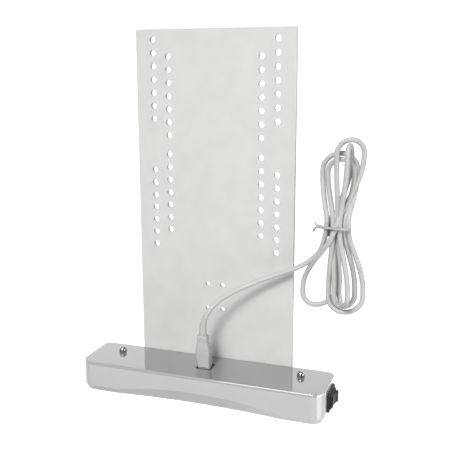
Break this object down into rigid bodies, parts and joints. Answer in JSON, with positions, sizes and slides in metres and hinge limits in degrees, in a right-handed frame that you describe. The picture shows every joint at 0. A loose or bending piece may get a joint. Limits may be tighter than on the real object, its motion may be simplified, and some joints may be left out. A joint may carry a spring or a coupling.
{
  "type": "display-mounted security bar unit",
  "caption": "Glossy bar unit on a perforated display mounting plate, with a rocker switch in one end and a plugged-in modular lead bundled by a tie.",
  "frame": {"origin": "centre of the middle 100 mm square hole pattern, on the plate's back face", "axes": "+X along the bar towards the switch, +Y up the plate away from the bar, +Z out of the plate's front; the unit lies on its back as pictured"},
  "size_m": [0.218, 0.2827, 0.0476],
  "materials": {
    "plate_paint": "fine powder coat, satin",
    "bar_shell": "polished light grey",
    "stud_chrome": "polished",
    "screw_steel": "zinc plated",
    "insert_brass": "machined",
    "board_green": "solder mask",
    "jack_black": "moulded",
    "contact_gold": "gold plated",
    "chip_black": "moulded",
    "capacitor_can": "drawn can",
    "header_green": "moulded",
    "switch_black": "moulded, fine grain",
    "rocker_black": "moulded, satin",
    "terminal_tin": "tinned",
    "wire_black": "smooth jacket",
    "plug_grey": "moulded",
    "boot_grey": "soft moulded",
    "cord_grey": "satin jacket",
    "tie_white": "paper covered wire"
  },
  "bodies": {
    "unit": {"mounting_plate": "plate_paint", "housing": "bar_shell", "top_cover": "bar_shell", "cover_studs": "stud_chrome", "cover_inserts": "insert_brass", "plate_screws": "screw_steel", "plate_inserts": "insert_brass", "circuit_board": "board_green", "board_screws": "screw_steel", "modular_jack": "jack_black", "jack_contacts": "contact_gold", "control_chips": "chip_black", "capacitors": "capacitor_can", "sounder": "chip_black", "wire_header": "header_green", "switch_body": "switch_black", "switch_terminals": "terminal_tin", "switch_wires": "wire_black"},
    "switch_rocker": {"rocker": "rocker_black"},
    "lead": {"plug_body": "plug_grey", "plug_contacts": "contact_gold", "plug_boot": "boot_grey", "cord_lead": "cord_grey", "cord_hank": "cord_grey", "cord_tail": "cord_grey", "twist_tie": "tie_white", "far_plug_body": "plug_grey", "far_plug_contacts": "contact_gold"},
    "near_latch": {"plug_latch": "plug_grey"},
    "far_latch": {"far_plug_latch": "plug_grey"}
  },
  "joints": [
    {"name": "rocker_tilt", "type": "hinge", "parent": "unit", "child": "switch_rocker", "pos_m": [0.097, -0.1826, 0.0228], "axis": [0, 1, 0], "range_deg": [0, 14]},
    {"name": "plug_pull", "type": "slide", "parent": "unit", "child": "lead", "axis": [0, 1, 0], "range_m": [0, 0.0135]},
    {"name": "near_latch_press", "type": "hinge", "parent": "lead", "child": "near_latch", "pos_m": [-0.0002, -0.1825, 0.02135], "axis": [1, 0, 0], "range_deg": [0, 9], "stiffness_Nm_per_rad": 0.05},
    {"name": "far_latch_press", "type": "hinge", "parent": "lead", "child": "far_latch", "pos_m": [0.0952, -0.0485, 0.00285], "axis": [-1, 0, 0], "range_deg": [0, 9], "stiffness_Nm_per_rad": 0.05}
  ]
}
